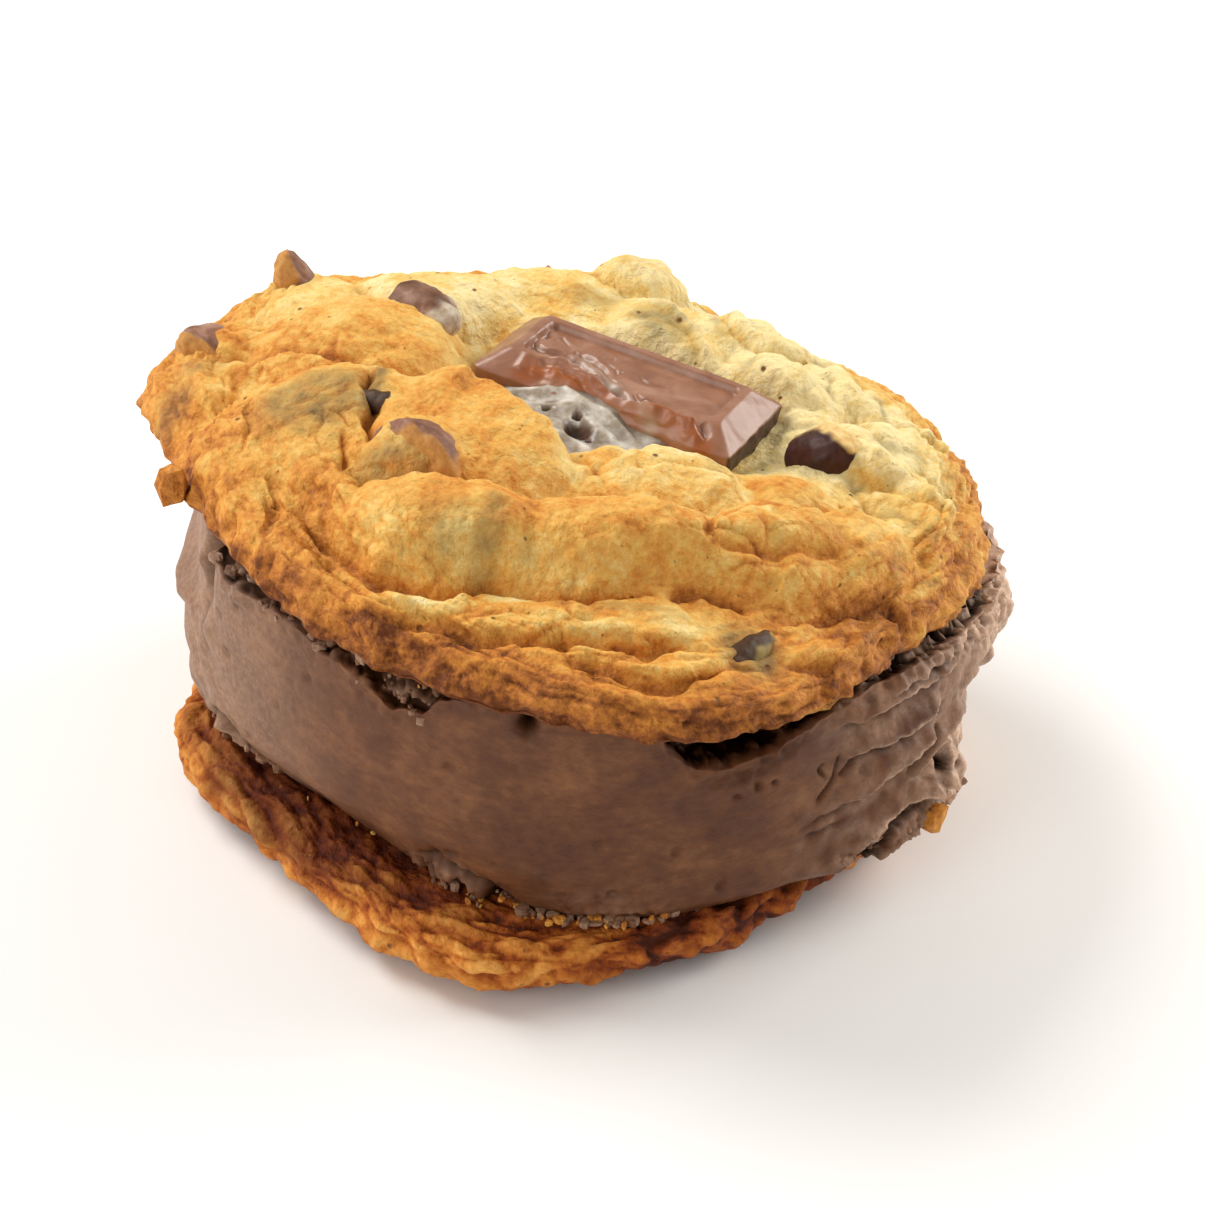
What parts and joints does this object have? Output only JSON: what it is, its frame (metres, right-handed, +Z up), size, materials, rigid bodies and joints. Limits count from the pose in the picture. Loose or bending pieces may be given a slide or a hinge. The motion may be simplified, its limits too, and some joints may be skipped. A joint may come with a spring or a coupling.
{
  "type": "ice cream sandwich",
  "caption": "Chocolate chip cookie ice cream sandwich: a thick slab of chocolate ice cream between soft cookies, with chocolate and melted marshmallow on top.",
  "frame": {"origin": "middle of the flat spot under the bottom cookie, on the surface that it rests on", "axes": "+Z up through the layers; +X towards the side where the top cookie tilts down, and -Y towards the side where the bottom cookie shows most"},
  "size_m": [0.1068, 0.1059, 0.0574],
  "materials": {
    "golden_dough": "baked cookie crumb, matt, golden with browner puffs and rim",
    "browned_dough": "baked cookie underside and thin rim, matt, wrinkled, brown",
    "chocolate_ice_cream": "smoothed frozen ice cream, satin, with pits and torn edges",
    "milk_chocolate": "moulded chocolate, soft gloss, melted at one edge",
    "dark_chocolate": "baked chocolate drops, satin",
    "melted_marshmallow": "melted sugar foam, glossy, with bubbles"
  },
  "bodies": {
    "root": {"cookie_top": "golden_dough", "cookie_bottom": "browned_dough", "ice_cream": "chocolate_ice_cream", "chocolate_bar_piece": "milk_chocolate", "marshmallow": "melted_marshmallow", "chip_back_left_tip": "dark_chocolate", "chip_left_edge": "dark_chocolate", "chip_behind_bar": "dark_chocolate", "chip_in_crack": "dark_chocolate", "chip_dome": "dark_chocolate", "chip_right": "dark_chocolate", "chip_front_edge": "dark_chocolate", "chip_far_back": "dark_chocolate", "chip_back_right": "dark_chocolate", "chip_bottom_left": "dark_chocolate", "chip_bottom_front": "dark_chocolate", "chip_bottom_right": "dark_chocolate", "chip_bottom_back": "dark_chocolate"}
  },
  "joints": []
}
